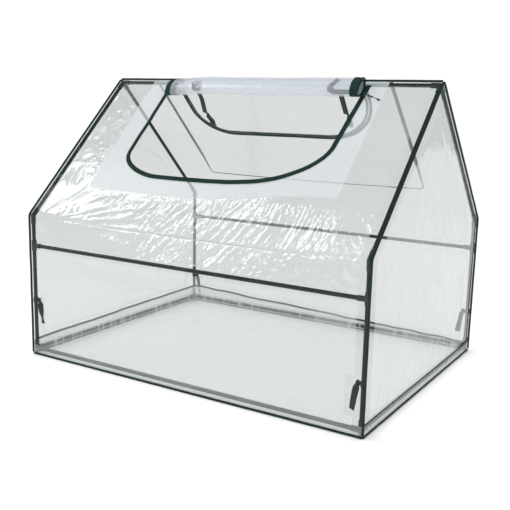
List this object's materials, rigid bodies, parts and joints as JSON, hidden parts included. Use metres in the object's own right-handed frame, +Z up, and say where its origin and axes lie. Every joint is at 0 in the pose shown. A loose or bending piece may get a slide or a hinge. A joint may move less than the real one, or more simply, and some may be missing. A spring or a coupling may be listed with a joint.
{
  "type": "mini greenhouse",
  "caption": "Low gabled garden greenhouse: a slot-together dark green tube frame under a clear film cover, with zipped roof windows front and back and the front flap rolled up.",
  "frame": {"origin": "on the ground at the centre of the base", "axes": "+Z up, +X along the ridge, the front (with the rolled-up window) faces -Y"},
  "size_m": [1.2, 0.91, 0.9211],
  "materials": {
    "painted_steel": "gloss dark green powder coat",
    "fitting_plastic": "moulded satin dark green",
    "clear_film": "clear glossy soft PVC film, lightly creased",
    "window_film": "clear film, a little milky",
    "floor_film": "translucent whitish sheet",
    "piping": "dark green covered piping",
    "zip_tape": "dark green woven zip tape",
    "webbing": "grey-green flat strap",
    "zip_metal": "green lacquered slider",
    "pull_plastic": "black"
  },
  "bodies": {
    "frame_and_cover": {"back_slope_film": "clear_film", "back_wall_film": "clear_film", "back_window_panel": "window_film", "back_zip_tape": "zip_tape", "base_corner_back_left": "fitting_plastic", "base_corner_back_right": "fitting_plastic", "base_corner_front_left": "fitting_plastic", "base_corner_front_right": "fitting_plastic", "base_tube_back": "painted_steel", "base_tube_front": "painted_steel", "base_tube_left": "painted_steel", "base_tube_right": "painted_steel", "corner_tie_back_left": "webbing", "corner_tie_back_right": "webbing", "corner_tie_front_left": "webbing", "corner_tie_front_right": "webbing", "floor_sheet": "floor_film", "front_slope_film": "clear_film", "front_tie_left": "webbing", "front_tie_right": "webbing", "front_wall_film": "clear_film", "front_window_panel": "window_film", "front_zip_tape": "zip_tape", "gable_panel_left": "clear_film", "gable_panel_right": "clear_film", "gable_piping_left": "piping", "gable_piping_right": "piping", "hem_piping": "piping", "rafter_back_left": "painted_steel", "rafter_back_right": "painted_steel", "rafter_front_left": "painted_steel", "rafter_front_right": "painted_steel", "rail_back": "painted_steel", "rail_front": "painted_steel", "rail_tee_back_left": "fitting_plastic", "rail_tee_back_right": "fitting_plastic", "rail_tee_front_left": "fitting_plastic", "rail_tee_front_right": "fitting_plastic", "ridge_fitting_left": "fitting_plastic", "ridge_fitting_right": "fitting_plastic", "ridge_piping": "piping", "ridge_tube": "painted_steel", "shoulder_elbow_back_left": "fitting_plastic", "shoulder_elbow_back_right": "fitting_plastic", "shoulder_elbow_front_left": "fitting_plastic", "shoulder_elbow_front_right": "fitting_plastic", "upright_back_left": "painted_steel", "upright_back_right": "painted_steel", "upright_front_left": "painted_steel", "upright_front_right": "painted_steel"},
    "front_roll": {"front_flap_roll": "window_film", "front_roll_end_left": "zip_tape", "front_roll_end_right": "zip_tape"},
    "front_slider": {"front_zip_slider": "zip_metal"},
    "front_pull": {"front_zip_pull": "pull_plastic"},
    "back_flap": {"back_flap": "clear_film"},
    "back_tie_left": {"back_tie_left": "webbing"},
    "back_tie_right": {"back_tie_right": "webbing"},
    "back_slider": {"back_zip_slider": "zip_metal"},
    "back_pull": {"back_zip_pull": "pull_plastic"}
  },
  "joints": [
    {"name": "front_roll_lift", "type": "hinge", "parent": "frame_and_cover", "child": "front_roll", "pos_m": [0, -0.01106, 0.90278], "axis": [-1, 0, 0], "range_deg": [0, 50]},
    {"name": "front_zip_slide", "type": "slide", "parent": "frame_and_cover", "child": "front_slider", "axis": [-0.083, -0.7125, -0.6967], "range_m": [0, 0.16]},
    {"name": "front_pull_flip", "type": "hinge", "parent": "front_slider", "child": "front_pull", "pos_m": [0.3838, -0.04594, 0.8698], "axis": [-0.4226, -0.648, -0.6336], "range_deg": [0, 80]},
    {"name": "back_flap_lift", "type": "hinge", "parent": "frame_and_cover", "child": "back_flap", "pos_m": [0, 0.02896, 0.88318], "axis": [1, 0, 0], "range_deg": [0, 110]},
    {"name": "back_tie_left_lift", "type": "hinge", "parent": "back_flap", "child": "back_tie_left", "pos_m": [-0.286, 0.03102, 0.88243], "axis": [1, 0, 0], "range_deg": [0, 50]},
    {"name": "back_tie_right_lift", "type": "hinge", "parent": "back_flap", "child": "back_tie_right", "pos_m": [0.252, 0.03102, 0.88243], "axis": [1, 0, 0], "range_deg": [0, 50]},
    {"name": "back_zip_slide", "type": "slide", "parent": "frame_and_cover", "child": "back_slider", "axis": [0, 0.715, -0.6991], "range_m": [0, 0.09]},
    {"name": "back_pull_flip", "type": "hinge", "parent": "back_slider", "child": "back_pull", "pos_m": [-0.3658, 0.02091, 0.89427], "axis": [0.4226, 0.648, -0.6336], "range_deg": [0, 80]}
  ]
}
